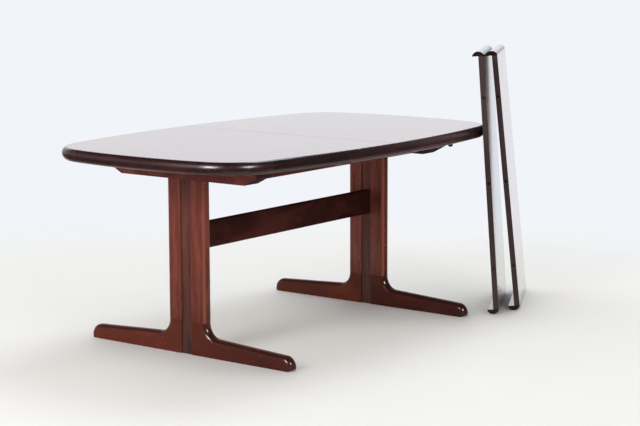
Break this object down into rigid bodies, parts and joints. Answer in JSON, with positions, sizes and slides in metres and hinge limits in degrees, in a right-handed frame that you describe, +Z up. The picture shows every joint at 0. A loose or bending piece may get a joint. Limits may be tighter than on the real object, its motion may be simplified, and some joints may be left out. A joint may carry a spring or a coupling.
{
  "type": "pull-apart extension dining table",
  "caption": "Pull-apart dining table: boat-shaped top in sliding halves, T-foot pedestals, stretcher, lock levers and loose leaves leaning on a corner.",
  "frame": {"origin": "on the floor under the middle of the closed top", "axes": "+X along the table from the near pedestal to the far one, +Y to the left side, +Z up"},
  "size_m": [1.973, 1.0695, 1.0106],
  "materials": {
    "top_veneer": "lacquered veneer",
    "rim_wood": "lacquered solid wood",
    "leg_wood": "lacquered solid wood",
    "core_wood": "lacquered solid wood",
    "stretcher_wood": "lacquered solid wood",
    "hidden_wood": "plain hardwood",
    "dowel_wood": "plain hardwood",
    "steel": "zinc plated",
    "knob": "moulded black"
  },
  "bodies": {
    "base": {"bearer_screws": "steel", "far_bearer": "leg_wood", "far_core_board": "core_wood", "far_left_foot": "leg_wood", "far_left_post": "leg_wood", "far_right_foot": "leg_wood", "far_right_post": "leg_wood", "left_guide_rail": "leg_wood", "leg_dowels": "dowel_wood", "near_bearer": "leg_wood", "near_core_board": "core_wood", "near_left_foot": "leg_wood", "near_left_post": "leg_wood", "near_right_foot": "leg_wood", "near_right_post": "leg_wood", "rail_screws": "steel", "right_guide_rail": "leg_wood", "stretcher": "stretcher_wood", "stretcher_dowels": "dowel_wood"},
    "near_top": {"near_end_rim": "rim_wood", "near_inner_runner": "hidden_wood", "near_left_corner_rim": "rim_wood", "near_left_side_rim": "rim_wood", "near_lever_bolt": "steel", "near_lever_sleeve": "steel", "near_outer_runner": "hidden_wood", "near_panel": "top_veneer", "near_right_corner_rim": "rim_wood", "near_right_side_rim": "rim_wood", "near_runner_screws": "steel", "near_seam_dowels": "dowel_wood", "near_stop_blocks": "hidden_wood"},
    "far_top": {"far_end_rim": "rim_wood", "far_inner_runner": "hidden_wood", "far_left_corner_rim": "rim_wood", "far_left_side_rim": "rim_wood", "far_lever_bolt": "steel", "far_lever_sleeve": "steel", "far_outer_runner": "hidden_wood", "far_panel": "top_veneer", "far_right_corner_rim": "rim_wood", "far_right_side_rim": "rim_wood", "far_runner_screws": "steel", "far_stop_blocks": "hidden_wood"},
    "near_lever": {"near_lever": "steel", "near_lever_knob": "knob"},
    "far_lever": {"far_lever": "steel", "far_lever_knob": "knob"},
    "leaf_one": {"leaf_one_dowels": "dowel_wood", "leaf_one_floor_rim": "rim_wood", "leaf_one_panel": "top_veneer", "leaf_one_upper_rim": "rim_wood"},
    "leaf_two": {"leaf_two_dowels": "dowel_wood", "leaf_two_floor_rim": "rim_wood", "leaf_two_panel": "top_veneer", "leaf_two_upper_rim": "rim_wood"}
  },
  "joints": [
    {"name": "near_top_slide", "type": "slide", "parent": "base", "child": "near_top", "axis": [-1, 0, 0], "range_m": [0, 0.44]},
    {"name": "far_top_slide", "type": "slide", "parent": "base", "child": "far_top", "axis": [1, 0, 0], "range_m": [0, 0.44]},
    {"name": "near_lever_swing", "type": "hinge", "parent": "near_top", "child": "near_lever", "pos_m": [-0.56275, 0.287, 0.665], "axis": [0, 0, 1], "range_deg": [0, 90]},
    {"name": "far_lever_swing", "type": "hinge", "parent": "far_top", "child": "far_lever", "pos_m": [0.56275, -0.287, 0.665], "axis": [0, 0, 1], "range_deg": [0, 90]},
    {"name": "leaf_one_slide", "type": "slide", "parent": "far_top", "child": "leaf_one", "axis": [0.8902, 0.4555, 0], "range_m": [0, 0.45]},
    {"name": "leaf_two_slide", "type": "slide", "parent": "far_top", "child": "leaf_two", "axis": [0.8902, 0.4555, 0], "range_m": [0, 0.45]}
  ]
}
